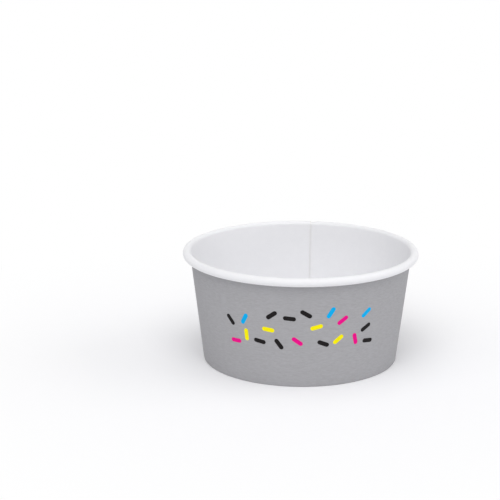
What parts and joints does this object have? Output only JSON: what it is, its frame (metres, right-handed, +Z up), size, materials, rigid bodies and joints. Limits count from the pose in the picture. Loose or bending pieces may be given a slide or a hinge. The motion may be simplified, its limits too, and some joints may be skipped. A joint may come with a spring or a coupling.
{
  "type": "paper dessert cup",
  "caption": "Round tapered paperboard dessert cup with a rolled rim, a lapped side seam and a raised base disc clamped in the turned-in foot.",
  "frame": {"origin": "centre of the foot, on the table", "axes": "+Z up along the cup's axis, -Y to the printed front, +Y to the lapped seam at the back"},
  "size_m": [0.092, 0.092, 0.044],
  "materials": {
    "printed_board": "white coated paperboard, matt grey print on its outer face",
    "white_board": "white paperboard with a satin moisture-proof coating"
  },
  "bodies": {
    "root": {"side_wall": "printed_board", "base_disc": "white_board"}
  },
  "joints": []
}
